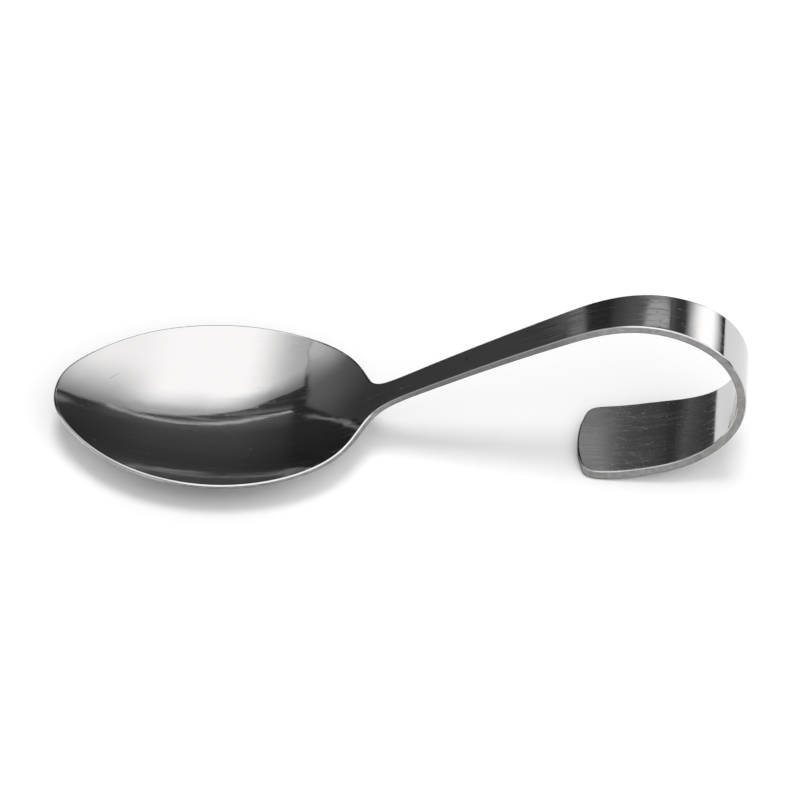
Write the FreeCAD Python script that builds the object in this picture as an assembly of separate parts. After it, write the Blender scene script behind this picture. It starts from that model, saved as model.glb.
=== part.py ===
import FreeCAD, Part
import math
import os
from Part import Geom2d

Vector = FreeCAD.Vector
Vector2d = FreeCAD.Base.Vector2d

# Spoon pressed from one steel blank. Millimetres.
# x runs from the bowl's tip to the curl, z is up, and z = 0 is the table.
# The flat blank comes first: s is the distance along it from the bowl's tip, and y is the distance
# from its middle line. The blank is dished at the bowl and then bent along s.

# Blank
bowl_length = 61.5
bowl_width = 44.0
neck_width = 5.5
handle_width = 7.1
arch_width = 9.2
tab_width = 18.6
tab_corner = 3.5
tab_bulge = 1.2
blank_length = 194.0

# Sheet
rim_thickness = 0.8
bowl_thickness = 1.2
neck_thickness = 1.2
arch_thickness = 1.7
tab_thickness = 2.2
edge_round = 0.3
foot_flat = 0.08

# Dished bowl
rim_height = 9.3
bowl_middle = 31.5
dish_length = 63.0
dish_width = 45.0
dish_taper = 0.06
dish_softness = 0.25

# Bends, each with its start along the blank and its length.
rim_bend = (0.0, 60.0)
neck_bend = (47.0, 21.5)
handle_bow = (72.5, 46.5)
arch_bend = (105.8, 41.0)
curl_bend = (132.3, 47.5)
foot_bend = (180.0, 14.0)

# Slope at the tip, and the bends' turns, in degrees.
# The neck's turn follows from the tab lying on the table, and the curl's turn from its lying level.
tip_slope = -5.4
rim_turn = 8.4
bow_turn = -3.2
arch_turn = -73.5
foot_turn = -15.4
half_turn = -180.0

# Steps of the surface grid and of the edge
row_step = 2.0
column_step = 2.0
path_steps = 8
edge_steps = 160
round_steps = 3

fade_start = 0.81 * bowl_length
fade_length = 0.2 * bowl_length
given_bends = [(rim_bend, rim_turn), (handle_bow, bow_turn), (arch_bend, arch_turn), (foot_bend, foot_turn)]
turn_left = half_turn - tip_slope - sum(turn for bend, turn in given_bends)

row_count = round(blank_length / row_step)
row_size = blank_length / row_count
rows = [(k - 1) * row_size for k in range(row_count + 3)]
half_columns = round(bowl_width / 2.0 / column_step) + 1
columns = [k * column_step for k in range(-half_columns, half_columns + 1)]


def ease(u):
    u = min(max(u, 0.0), 1.0)
    return u * u * (3.0 - 2.0 * u)


def slope(s, neck_turn):
    """Direction of the side profile in degrees."""
    bends = [*given_bends, (neck_bend, neck_turn), (curl_bend, turn_left - neck_turn)]
    return tip_slope + sum(turn * ease((s - start) / length) for (start, length), turn in bends)


def side_profile(neck_turn):
    """Place in the side view at each row. The bowl's tip is at (0, rim_height)."""
    x, z = 0.0, 0.0
    points = [(x, z)]
    step = row_size / path_steps
    for s in rows[:-1]:
        for k in range(path_steps):
            angle = math.radians(slope(s + (k + 0.5) * step, neck_turn))
            x += step * math.cos(angle)
            z += step * math.sin(angle)
        points.append((x, z))
    tip_x, tip_z = points[1]
    return [(x - tip_x, z - tip_z + rim_height) for x, z in points]


def solved_neck_turn():
    """Turn of the neck that brings the tab's lower face down to the table, with a little to grind flat."""
    low, high = 5.0, 60.0
    while high - low > 1e-9:
        middle = (low + high) / 2.0
        if side_profile(middle)[-2][1] > -foot_flat:
            high = middle
        else:
            low = middle
    return low


def softly_positive(q):
    return (q + math.sqrt(q * q + dish_softness * dish_softness)) / 2.0


def dish(s, y):
    """Share of the bowl's depth: 1 in the middle, 0 at the rim, fading out along the neck."""
    along = 2.0 * (s - bowl_middle) / dish_length
    across = 2.0 * y / (dish_width * (1.0 + dish_taper * along))
    q = 1.0 - along * along - across * across
    fade = ease((s - fade_start) / fade_length)
    return (1.0 - fade) * q + fade * softly_positive(q)


def thickness(s, y):
    towards_neck = ease((s - fade_start) / fade_length)
    towards_arch = ease((s - bowl_length) / (arch_bend[0] + arch_bend[1] / 2.0 - bowl_length))
    curl_middle = curl_bend[0] + curl_bend[1] / 2.0
    towards_tab = ease((s - curl_middle) / (blank_length - curl_middle))
    bowl = rim_thickness + (bowl_thickness - rim_thickness) * softly_positive(dish(s, y))
    handle = neck_thickness + (arch_thickness - neck_thickness) * towards_arch
    handle += (tab_thickness - arch_thickness) * towards_tab
    return bowl + (handle - bowl) * towards_neck


def fitted_curve(points, parameters):
    curve = Part.BSplineCurve()
    curve.interpolate(Points=points, Parameters=parameters)
    return curve


def fitted_surface(grid, row_values, column_values):
    """Cubic surface through grid[row][column]."""
    along = [fitted_curve(list(line), row_values) for line in zip(*grid)]
    across = [fitted_curve(list(line), column_values) for line in zip(*[curve.getPoles() for curve in along])]
    surface = Part.BSplineSurface()
    surface.buildFromPolesMultsKnots(
        [curve.getPoles() for curve in across],
        along[0].getMultiplicities(),
        across[0].getMultiplicities(),
        along[0].getKnots(),
        across[0].getKnots(),
        False,
        False,
        along[0].Degree,
        across[0].Degree,
    )
    return surface


def upper_surface(neck_turn, bowl_depth):
    grid = []
    for s, (x, z) in zip(rows, side_profile(neck_turn)):
        angle = math.radians(slope(s, neck_turn))
        line = []
        for y in columns:
            height = -bowl_depth * dish(s, y)
            line.append(Vector(x - height * math.sin(angle), y, z + height * math.cos(angle)))
        grid.append(line)
    return fitted_surface(grid, rows, columns)


def below(surface, s, y, depth):
    """Point at a depth under the upper surface, square to it."""
    return surface.value(s, y) - surface.normal(s, y) * depth


def lower_surface(upper):
    grid = [[below(upper, s, y, thickness(s, y)) for y in columns] for s in rows]
    return fitted_surface(grid, rows, columns)


def lowest_of_bowl(surface):
    return min(surface.value(s, 0.0).z for s in rows if 0.0 < s < bowl_length)


def half_outline():
    """Edge of the blank from the bowl's tip to the middle of the tab's end, on the side of +y."""
    bowl = bowl_width / 2.0
    neck = neck_width / 2.0
    tab = tab_width / 2.0
    tab_side = blank_length - tab_bulge
    poles = [
        (0.0, 0.0),
        (0.0, 0.18 * bowl),
        (0.051 * bowl_length, 0.453 * bowl),
        (0.262 * bowl_length, 0.913 * bowl),
        (0.564 * bowl_length, 1.063 * bowl),
        (0.832 * bowl_length, 0.854 * bowl),
        (0.957 * bowl_length, 0.554 * bowl),
        (0.998 * bowl_length, 0.215 * bowl),
        (1.074 * bowl_length, neck),
        (1.22 * bowl_length, 1.13 * neck),
        (0.518 * blank_length, handle_width / 2.0),
        (0.648 * blank_length, arch_width / 2.0),
        (0.786 * blank_length, 0.67 * tab),
        (0.86 * blank_length, 0.826 * tab),
        (0.905 * blank_length, 0.985 * tab),
        (tab_side - 1.5 * tab_corner, 0.98 * tab),
        (tab_side - 0.1 * tab_corner, 0.955 * tab),
        (tab_side + 0.4 * tab_bulge, tab - 1.2 * tab_corner),
        (blank_length, tab - 1.8 * tab_corner),
        (blank_length, 0.0),
    ]
    curve = Geom2d.BSplineCurve2d()
    curve.buildFromPoles([Vector2d(*pole) for pole in poles])
    return curve


def outline_samples(outline):
    """Length along the outline, place and outward direction at even steps."""
    first = outline.FirstParameter
    last = outline.LastParameter
    samples = []
    for k in range(edge_steps + 1):
        u = first + (last - first) * k / edge_steps
        ahead = outline.tangent(u)
        samples.append((outline.length(first, u), outline.value(u), Vector2d(-ahead.y, ahead.x)))
    return samples


def edge_strips(upper, samples, side):
    """Narrow strips that round the sheet's edge from the upper face to the lower, along one half."""
    turns = [math.pi / 2.0 * k / round_steps for k in range(round_steps + 1)]
    corner = [(edge_round * (1.0 - math.sin(a)), edge_round * (1.0 - math.cos(a))) for a in turns]
    section = [(inset, 0.0, depth) for inset, depth in corner]
    section += [(inset, 1.0, -depth) for inset, depth in reversed(corner)]
    lines = []
    for inset, share, depth in section:
        line = []
        for travel, place, outward in samples:
            s = place.x - inset * outward.x
            y = side * (place.y - inset * outward.y)
            line.append(below(upper, s, y, share * thickness(s, y) + depth))
        lines.append(line)
    travels = [travel for travel, place, outward in samples]
    return [fitted_surface(list(zip(*pair)), travels, [0.0, 1.0]) for pair in zip(lines, lines[1:])]


def face_within(surface, curves):
    """The part of a surface that lies within a closed line of curves."""
    face = Part.Face(surface, Part.Wire([curve.toShape() for curve in curves]))
    face.validate()
    return face


neck_turn = solved_neck_turn()
upper = upper_surface(neck_turn, rim_height)
bowl_depth = rim_height + foot_flat + lowest_of_bowl(lower_surface(upper))
upper = upper_surface(neck_turn, bowl_depth)
lower = lower_surface(upper)

samples = outline_samples(half_outline())
strips = [edge_strips(upper, samples, side) for side in (1.0, -1.0)]
faces = [strip.toShape() for half in strips for strip in half]
faces.append(face_within(upper, [half[0].vIso(0.0) for half in strips]))
faces.append(face_within(lower, [half[-1].vIso(1.0) for half in strips]))

shell = Part.Shell(faces)
shell.sewShape()
spoon = Part.Solid(shell)
if spoon.Volume < 0.0:
    spoon.reverse()

# The spoon stands on two ground spots, under the bowl and under the tab.
ground = Part.makeBox(blank_length, 2.0 * bowl_width, bowl_width)
ground.translate(Vector(-bowl_length, -bowl_width, -bowl_width))
spoon = spoon.cut(ground).Solids[0]

# The origin lies on the table, under the middle of the spoon's length.
box = spoon.optimalBoundingBox(True, False)
spoon.translate(Vector(-(box.XMin + box.XMax) / 2.0, 0.0, 0.0))

os.makedirs("parts", exist_ok=True)
spoon.exportStep("parts/spoon.step")

print("neck turn", round(neck_turn, 2), "bowl depth", round(bowl_depth, 2))
print("valid", spoon.isValid(), "closed", shell.isClosed(), "volume", round(spoon.Volume, 1))
print("box", box)
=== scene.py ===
import math

import bpy
from mathutils import Matrix, Vector

# Lengths are in metres and angles in degrees. The lens and its sensor are in millimetres.

# Camera at the photograph's viewing angle
view_azimuth = 7.81
view_elevation = 45.02
view_roll = -2.83
view_distance = 0.7
view_centre = Vector((0.00066, 0.0, 0.01026))
lens_length = 162.05
sensor_width = 36.0
nearest_seen = 0.01
farthest_seen = 10.0

# White board under the spoon
board_half_width = 1.5
board_colour = (0.94, 0.94, 0.94)

# Lamps over the board: name, strength, angle across, and tilts about x and y
board_lamps = [
    ("top", 1.2, 22.0, -4.0, 3.5),
    ("front", 1.58, 65.0, 32.0, 22.0),
    ("fill", 1.06, 170.0, 0.0, 0.0),
]

# Lit strip high up behind the spoon: both ends, width and brightness
strip_left = Vector((-0.793, 1.0826, 1.2505))
strip_right = Vector((0.519, 1.3288, 1.2613))
strip_width = 0.055
strip_radiance = 0.42

# The dark studio around the board is described by measures of a direction, in degrees.
# east and north: its place on a flat map of the sky that has the zenith in the middle.
# zenith and azimuth: its angle from straight up, and its angle from +y towards +x.
# inside: how far it lies within the softbox's far edge, which has two straight parts.
# near_edge: the same, counted faster towards the left.
# over_strip: how far it lies beyond the lit strip.
# off_line: how far it lies from the thin lit line on the left.

# The horizontal part of a direction counts as at least this, so that the zenith has a place too.
smallest_level = 0.0001

# Each part of the far edge has its north at east 0, and its slope.
softbox_far_edges = [(40.3, 0.25), (41.8, 0.567)]
near_edge_rate = (0.0, -14.0, 1.0, 1.6)
strip_north = 42.2
strip_slope = 0.155

# The thin line has its leftmost azimuth at one angle from the zenith, and bows to the right from there.
line_azimuth = -39.3
line_middle = 75.0
line_bow = 0.0097

# A soft border is a measure and two of its values: 0 at the first, 1 at the second and smooth between.
# Where two more numbers follow, they stand for that 0 and 1.
softbox_borders = [
    ("inside", 0.0, 1.2),
    ("east", -30.3, -28.7),
    ("east", 75.0, 55.0),
    ("north", -75.0, -60.0),
    ("east", -28.0, -12.0, 0.42, 1.0),
]
left_borders = [
    ("east", -28.7, -30.3),
    ("azimuth", -38.5, -41.5),
    ("east", -60.0, -30.0, 0.65, 1.0),
]
left_terms = [
    (0.08,),
    (0.09, ("north", 60.0, 25.0)),
    (0.68, ("north", 27.0, 0.0)),
]
wall_left_end = ("east", -29.0, -24.0)
wall_low_part = ("north", 80.0, 50.0, 0.62, 1.0)

# Parts of the room. Each has terms that are added, then the borders of them all.
# A term is a brightness with its own borders. Where parts overlap, the brightest is seen.
room_parts = {
    "softbox overhead": (
        [
            (1.0, ("near_edge", 2.0, 19.0, 0.6, 1.56), ("east", 22.0, 8.0)),
            (1.0, ("inside", -8.0, 40.0, 0.22, 1.42), ("east", 8.0, 22.0)),
        ],
        softbox_borders,
    ),
    "grey cloth between the softbox and the lit strip": (
        [(0.2,)],
        [("north", 31.5, 37.0), ("over_strip", -1.2, -2.4), ("east", -28.5, -26.0), ("east", -4.0, -12.0)],
    ),
    "grey left side": (left_terms, [("east", -29.5, -31.5), *left_borders]),
    "grey left side, low part beside the softbox": (left_terms, [("north", 21.0, 17.0), *left_borders]),
    "thin lit line on the left, down to the horizon": (
        [(0.24,)],
        [("off_line", 1.3, 0.4), ("zenith", 50.0, 58.0), ("zenith", 89.0, 84.0)],
    ),
    "lit panel on the right, with a soft left side": (
        [(1.4, ("azimuth", 31.0, 39.5)), (0.28, ("azimuth", 23.0, 28.0))],
        [("azimuth", 130.0, 110.0), ("zenith", 89.0, 75.0), ("zenith", 55.5, 59.5)],
    ),
    "dim room behind the camera": ([(0.22,)], [("north", -35.0, -80.0)]),
    "dark wall behind the spoon, with a glow over the strip": (
        [
            (0.032, wall_low_part),
            (0.02, wall_low_part, wall_left_end),
            (0.03, wall_low_part, wall_left_end, ("east", -26.0, -12.0), ("east", 22.0, 2.0)),
            (
                0.065,
                ("over_strip", 13.0, 0.0),
                ("over_strip", -1.0, 0.0),
                ("east", -29.0, -25.0),
                ("east", 24.0, 18.0),
            ),
        ],
        [],
    ),
}

# Colours of the steel
steel_colour = (0.60, 0.592, 0.59)
cut_colour = (0.33, 0.325, 0.32)
# Dark colour of burrs, blotches and scratches, also used for painted shade on the lower edges and along the
# straight handle's cut edge
burr_and_shade_colour = (0.12, 0.118, 0.115)
# Near-black painted dark reflection for the far outer edges of the bowl and the tab
painted_reflection_colour = (0.03, 0.03, 0.03)
# Near-black painted shade for the inside of a pit
pit_shade_colour = (0.02, 0.02, 0.02)

# Regions of the steel. Each is one or more lists of soft borders, and reaches wherever one list does.
# x, y and z measure the place, and facing_x, facing_y and facing_z where the surface faces.
# sideways and level are facing_y and facing_z without their sign.
polished_tip = ("x", -0.047, -0.037, 0.2, 1.0)
steel_regions = {
    "cut_edge": [
        [("sideways", 0.75, 0.95), polished_tip],
        [("level", 0.62, 0.5), ("x", 0.045, 0.042), polished_tip],
    ],
    # Painted shade: the downward-facing lower edges of the sheet are coloured dark for the shaded floor below
    # them, and are rougher
    "lower_corner": [[("facing_z", -0.08, -0.2), ("sideways", 0.25, 0.45)]],
    # Far outer edges; together with dark_stretch they take the painted dark reflection
    "outer_corner": [
        [("facing_y", 0.0, 0.08), ("y", 0.0, 0.002), ("x", 0.055, 0.045)],
        [("facing_y", 0.0, 0.08), ("y", 0.0, 0.002), ("z", 0.02, 0.012)],
        [("facing_x", -0.08, -0.2), ("y", -0.008, -0.004), ("z", 0.012, 0.01), ("x", -0.05, -0.055)],
        [
            ("facing_x", -0.08, -0.2),
            ("y", -0.008, -0.004),
            ("z", 0.012, 0.01),
            ("x", 0.031, 0.033),
            ("x", 0.042, 0.038),
        ],
    ],
    # Stretches of the far outer edges that take the painted dark reflection, leaving out the middle of the
    # bowl
    "dark_stretch": [
        [("facing_z", -0.1, 0.0), ("x", -0.05, -0.057)],
        [("facing_z", -0.1, 0.0), ("x", -0.027, -0.02)],
    ],
    # Stretch of the straight handle whose cut edge is darkened with painted shade
    "dark_wall": [[("x", -0.005, 0.005), ("x", 0.04, 0.03), ("z", 0.008, 0.012)]],
    "bowl_left": [[("x", -0.036, -0.05), ("x", -0.068, -0.062)]],
    "worn": [[("x", 0.064, 0.06), ("x", 0.02, 0.03), ("z", 0.016, 0.01)]],
    "rubbed_middle": [[("x", 0.053, 0.049), ("x", 0.039, 0.043)]],
    "upper_face": [[("facing_z", 0.2, 0.4)]],
}

# Fine marks in the steel: their number per metre along x, y and z, and their detail
brush_marks = ((90.0, 3200.0, 90.0), 3.0)
streak_marks = ((110.0, 3000.0, 110.0), 3.0)
rubbed_marks = ((280.0, 3000.0, 280.0), 2.0)
grain_marks = ((2600.0, 2600.0, 2600.0), 2.0)
speck_marks = ((1500.0, 1500.0, 1500.0), 1.0)
blotch_marks = ((900.0, 900.0, 900.0), 3.0)

# The marks show where their pattern rises from the first value to the second.
brush_range = (0.4, 0.75)
streak_range = (0.47, 0.72)
rubbed_range = (0.6, 0.7)
speck_range = (0.68, 0.74)
blotch_range = (0.35, 0.65)

# Strength of each finer step of a pattern's detail, as a share of the step before
pattern_roughness = 0.6

# Rubbed marks on the tab: how far they are turned from the spoon's length, and how much they waver
rubbed_turns = (31.0, -24.0, 8.0)
rubbed_waviness = 0.5

# Depth of the bumps, and how strongly the brush lines and the grain show them
mark_depth = 0.000003
brush_strength = 0.35
grain_strength = 0.3

# Grain added in the left of the bowl, as a multiple of the grain elsewhere
left_grain = 4.0

# Thin scratches in the bowl, seen from above: both ends (x, y)
scratches = [
    ((-0.0357, -0.0082), (-0.0353, -0.0052)),
    ((-0.0357, -0.0082), (-0.0341, -0.0092)),
    ((-0.0585, 0.0060), (-0.0560, 0.0088)),
]
scratch_width = 0.00006
scratch_taper = 1.0 / 3.0

# One pit in the handle, painted as a near-black spot of shade
pit_place = (0.01383, 0.00071, 0.02172)
pit_radius = 0.0003

# Roughness of the plain steel, and what each region or mark adds to it
steel_roughness = 0.035
added_roughness = {
    "brush": 0.05,
    "streak": 0.12,
    "worn": 0.08,
    "rubbed": 0.15,
    "speck": 0.12,
    "lower_corner": 0.3,
    "cut_edge": 0.36,
}

# Colours laid over the plain steel in turn: where, how strongly, and the colour
steel_tints = [
    ("cut_edge", 1.0, cut_colour),
    ("blotch", 0.35, burr_and_shade_colour),
    # Painted shade on the cut edge along the straight handle
    ("painted_shade_cut", 0.65, burr_and_shade_colour),
    # Painted shade on the downward-facing lower edges
    ("lower_corner", 1.0, burr_and_shade_colour),
    ("scratched", 0.45, burr_and_shade_colour),
    # Painted dark reflection on the far outer edges
    ("painted_far_reflection", 1.0, painted_reflection_colour),
    # Painted shade inside the pit
    ("pit", 1.0, pit_shade_colour),
]


def link_object(name, data):
    piece = bpy.data.objects.new(name, data)
    bpy.context.scene.collection.objects.link(piece)
    return piece


class Nodes:
    """Short calls for building one node tree."""

    def __init__(self, tree):
        self.tree = tree
        self.tree.nodes.clear()

    def add(self, kind, inputs=None, **settings):
        node = self.tree.nodes.new(kind)
        for name, value in settings.items():
            setattr(node, name, value)
        for name, value in (inputs or {}).items():
            socket = node.inputs[name]
            if isinstance(value, bpy.types.NodeSocket):
                self.tree.links.new(value, socket)
            else:
                socket.default_value = value
        return node

    def math(self, operation, *values):
        node = self.add("ShaderNodeMath", dict(enumerate(values)), operation=operation)
        return node.outputs[0]

    def chain(self, operation, values):
        result = values[0]
        for value in values[1:]:
            result = self.math(operation, result, value)
        return result

    def total(self, *values):
        return self.chain("ADD", values)

    def product(self, *values):
        return self.chain("MULTIPLY", values)

    def highest(self, *values):
        return self.chain("MAXIMUM", values)

    def difference(self, first, second):
        return self.math("SUBTRACT", first, second)

    def ramp(self, value, first, second, start=0.0, end=1.0):
        """start at the first value and end at the second, smooth between."""
        (low, low_result), (high, high_result) = sorted([(first, start), (second, end)])
        inputs = {
            "Value": value,
            "From Min": low,
            "From Max": high,
            "To Min": low_result,
            "To Max": high_result,
        }
        node = self.add("ShaderNodeMapRange", inputs, interpolation_type="SMOOTHSTEP")
        return node.outputs["Result"]

    def within(self, measures, borders):
        """The share that each soft border leaves."""
        return [self.ramp(measures[name], *limits) for name, *limits in borders]

    def colour(self, share, first, second):
        inputs = {"Factor": share, "A": first, "B": (*second, 1.0)}
        return self.add("ShaderNodeMix", inputs, data_type="RGBA").outputs[2]

    def pattern(self, place, scale, detail, turn=0.0, waviness=0.0):
        """Random pattern with a scale along each axis, turned about the vertical."""
        turned = self.add("ShaderNodeMapping", {"Vector": place, "Rotation": (0.0, 0.0, math.radians(turn))})
        scaled = self.add("ShaderNodeMapping", {"Vector": turned.outputs[0], "Scale": scale})
        inputs = {
            "Vector": scaled.outputs[0],
            "Scale": 1.0,
            "Detail": detail,
            "Roughness": pattern_roughness,
            "Distortion": waviness,
        }
        return self.add("ShaderNodeTexNoise", inputs).outputs["Fac"]


def camera():
    azimuth = math.radians(view_azimuth)
    elevation = math.radians(view_elevation)
    back = Vector(
        (
            math.sin(azimuth) * math.cos(elevation),
            -math.cos(azimuth) * math.cos(elevation),
            math.sin(elevation),
        )
    )
    right = Vector((math.cos(azimuth), math.sin(azimuth), 0.0))
    up = back.cross(right)
    turn = Matrix((right, up, back)).transposed().to_4x4() @ Matrix.Rotation(math.radians(view_roll), 4, "Z")
    data = bpy.data.cameras.new("photo_camera")
    data.lens = lens_length
    data.sensor_width = sensor_width
    data.clip_start = nearest_seen
    data.clip_end = farthest_seen
    piece = link_object("photo_camera", data)
    piece.matrix_world = Matrix.Translation(view_centre + back * view_distance) @ turn
    bpy.context.scene.camera = piece


def sky_measures(n, x, y, z):
    """Measures of the direction (x, y, z)."""
    zenith = n.math("DEGREES", n.math("ARCCOSINE", z))
    azimuth = n.math("DEGREES", n.math("ARCTAN2", x, y))
    level = n.highest(n.math("SQRT", n.total(n.product(x, x), n.product(y, y))), smallest_level)
    east = n.math("DIVIDE", n.product(zenith, x), level)
    north = n.math("DIVIDE", n.product(zenith, y), level)
    far_edges = [n.total(middle, n.product(east, slope)) for middle, slope in softbox_far_edges]
    inside = n.difference(n.math("MINIMUM", *far_edges), north)
    along_line = n.difference(zenith, line_middle)
    line = n.total(line_azimuth, n.product(line_bow, along_line, along_line))
    return {
        "zenith": zenith,
        "azimuth": azimuth,
        "east": east,
        "north": north,
        "inside": inside,
        "near_edge": n.product(inside, n.ramp(east, *near_edge_rate)),
        "over_strip": n.difference(north, n.total(strip_north, n.product(east, strip_slope))),
        "off_line": n.math("ABSOLUTE", n.difference(azimuth, line)),
    }


def room_light(n, measures):
    """Brightness of the dark studio."""
    parts = []
    for terms, borders in room_parts.values():
        lights = [n.product(brightness, *n.within(measures, own)) for brightness, *own in terms]
        parts.append(n.product(n.total(*lights), *n.within(measures, borders)))
    return n.highest(*parts)


def studio_world():
    """The room around the board. The board itself is lit by the lamps."""
    world = bpy.data.worlds.new("studio")
    bpy.context.scene.world = world
    world.use_nodes = True
    world.cycles_visibility.diffuse = False
    n = Nodes(world.node_tree)
    direction = n.add("ShaderNodeTexCoord").outputs["Generated"]
    x, y, z = n.add("ShaderNodeSeparateXYZ", {"Vector": direction}).outputs
    strength = room_light(n, sky_measures(n, x, y, z))
    room = n.add("ShaderNodeBackground", {"Color": (1.0, 1.0, 1.0, 1.0), "Strength": strength})
    n.add("ShaderNodeOutputWorld", {"Surface": room.outputs[0]})


def board_lamp(name, strength, angle, tilt_x, tilt_y):
    """Round lamp for the board only: the steel doesn't mirror it."""
    data = bpy.data.lights.new(name, "SUN")
    data.energy = strength
    data.angle = math.radians(angle)
    piece = link_object(name, data)
    piece.rotation_euler = (math.radians(tilt_x), math.radians(tilt_y), 0.0)
    piece.visible_glossy = False


def strip_light():
    """Long lit strip that only the steel mirrors."""
    along = strip_right - strip_left
    data = bpy.data.lights.new("strip", "AREA")
    data.shape = "RECTANGLE"
    data.size = along.length
    data.size_y = strip_width
    data.energy = strip_radiance * math.pi * along.length * strip_width
    piece = link_object("strip", data)
    middle = (strip_left + strip_right) / 2.0
    back = middle.normalized()
    right = (along - along.dot(back) * back).normalized()
    up = back.cross(right)
    turn = Matrix((right, up, back)).transposed().to_4x4()
    piece.matrix_world = Matrix.Translation(middle) @ turn
    piece.visible_diffuse = False


def board_material():
    material = bpy.data.materials.new("white_board")
    material.use_nodes = True
    n = Nodes(material.node_tree)
    paper = n.add("ShaderNodeBsdfDiffuse", {"Color": (*board_colour, 1.0)})
    n.add("ShaderNodeOutputMaterial", {"Surface": paper.outputs[0]})
    return material


def board():
    """White board that the spoon stands on."""
    mesh = bpy.data.meshes.new("white_board")
    w = board_half_width
    mesh.from_pydata([(-w, -w, 0.0), (w, -w, 0.0), (w, w, 0.0), (-w, w, 0.0)], [], [(0, 1, 2, 3)])
    mesh.materials.append(board_material())
    link_object("white_board", mesh)


def scratch(n, x, y, first, last):
    """1 on a thin straight line between two places seen from above."""
    along = Vector(last) - Vector(first)
    length = along.length
    ahead = along / length
    from_first = (n.difference(x, first[0]), n.difference(y, first[1]))
    travel = n.total(n.product(from_first[0], ahead.x), n.product(from_first[1], ahead.y))
    aside = n.total(n.product(from_first[0], -ahead.y), n.product(from_first[1], ahead.x))
    on_line = n.ramp(n.math("ABSOLUTE", aside), scratch_width, scratch_width / 2.0)
    taper = length * scratch_taper
    return n.product(on_line, n.ramp(travel, 0.0, taper), n.ramp(travel, length, length - taper))


def steel_measures(n, place, normal):
    x, y, z = n.add("ShaderNodeSeparateXYZ", {"Vector": place}).outputs
    facing_x, facing_y, facing_z = n.add("ShaderNodeSeparateXYZ", {"Vector": normal}).outputs
    return {
        "x": x,
        "y": y,
        "z": z,
        "facing_x": facing_x,
        "facing_y": facing_y,
        "facing_z": facing_z,
        "sideways": n.math("ABSOLUTE", facing_y),
        "level": n.math("ABSOLUTE", facing_z),
    }


def steel_masks(n, place, measures, brush):
    """Share of each region and each kind of mark."""
    masks = {}
    for name, places in steel_regions.items():
        masks[name] = n.highest(*[n.product(*n.within(measures, borders)) for borders in places])
    # Painted dark reflection: the far outer edges are coloured near-black where the real steel mirrors the
    # dark room
    masks["painted_far_reflection"] = n.product(masks["outer_corner"], masks["dark_stretch"])
    # Painted shade: the cut edge along the straight handle is darkened further
    masks["painted_shade_cut"] = n.product(masks["cut_edge"], masks["dark_wall"])

    masks["brush"] = n.ramp(brush, *brush_range)
    masks["streak"] = n.ramp(n.pattern(place, *streak_marks), *streak_range)
    masks["speck"] = n.ramp(n.pattern(place, *speck_marks), *speck_range)
    masks["blotch"] = n.product(masks["cut_edge"], n.ramp(n.pattern(place, *blotch_marks), *blotch_range))

    rubbed = [
        n.ramp(n.pattern(place, *rubbed_marks, turn, rubbed_waviness), *rubbed_range)
        for turn in rubbed_turns
    ]
    masks["rubbed"] = n.product(masks["worn"], masks["rubbed_middle"], n.highest(*rubbed))

    lines = [scratch(n, measures["x"], measures["y"], *ends) for ends in scratches]
    masks["scratched"] = n.product(masks["upper_face"], n.highest(*lines))

    from_pit = n.add("ShaderNodeVectorMath", {0: place, 1: pit_place}, operation="DISTANCE").outputs["Value"]
    masks["pit"] = n.ramp(from_pit, pit_radius, pit_radius / 2.0)
    return masks


def steel_material():
    """Satin steel, brushed along the spoon. The cut edge of the sheet is duller than its faces. Painted shade
    darkens the lower edges, the cut edge along the straight handle and a pit, and a painted dark reflection
    blackens the far outer edges.
    """
    material = bpy.data.materials.new("satin_steel")
    material.use_nodes = True
    n = Nodes(material.node_tree)
    coordinates = n.add("ShaderNodeTexCoord")
    place = coordinates.outputs["Object"]
    measures = steel_measures(n, place, coordinates.outputs["Normal"])
    brush = n.pattern(place, *brush_marks)
    masks = steel_masks(n, place, measures, brush)

    added = [n.product(amount, masks[name]) for name, amount in added_roughness.items()]
    roughness = n.total(steel_roughness, *added)

    tint = (*steel_colour, 1.0)
    for name, strength, colour in steel_tints:
        tint = n.colour(n.product(strength, masks[name]), tint, colour)

    brushed = n.add("ShaderNodeBump", {"Height": brush, "Strength": brush_strength, "Distance": mark_depth})
    grain = n.product(n.pattern(place, *grain_marks), n.total(1.0, n.product(left_grain, masks["bowl_left"])))
    grained = n.add(
        "ShaderNodeBump",
        {"Height": grain, "Strength": grain_strength, "Distance": mark_depth, "Normal": brushed.outputs[0]},
    )
    steel = n.add(
        "ShaderNodeBsdfPrincipled",
        {"Base Color": tint, "Metallic": 1.0, "Roughness": roughness, "Normal": grained.outputs[0]},
    )
    n.add("ShaderNodeOutputMaterial", {"Surface": steel.outputs[0]})
    return material


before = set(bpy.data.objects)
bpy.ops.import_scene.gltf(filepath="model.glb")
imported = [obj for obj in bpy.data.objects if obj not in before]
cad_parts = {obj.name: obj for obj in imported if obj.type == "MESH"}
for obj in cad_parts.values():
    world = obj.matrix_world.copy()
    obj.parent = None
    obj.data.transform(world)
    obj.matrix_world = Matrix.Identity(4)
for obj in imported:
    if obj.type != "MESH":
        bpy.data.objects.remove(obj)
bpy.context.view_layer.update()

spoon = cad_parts["spoon"]
spoon.material_slots[0].material = steel_material()

board()
studio_world()
for lamp in board_lamps:
    board_lamp(*lamp)
strip_light()
camera()

bpy.context.scene.view_settings.view_transform = "Standard"
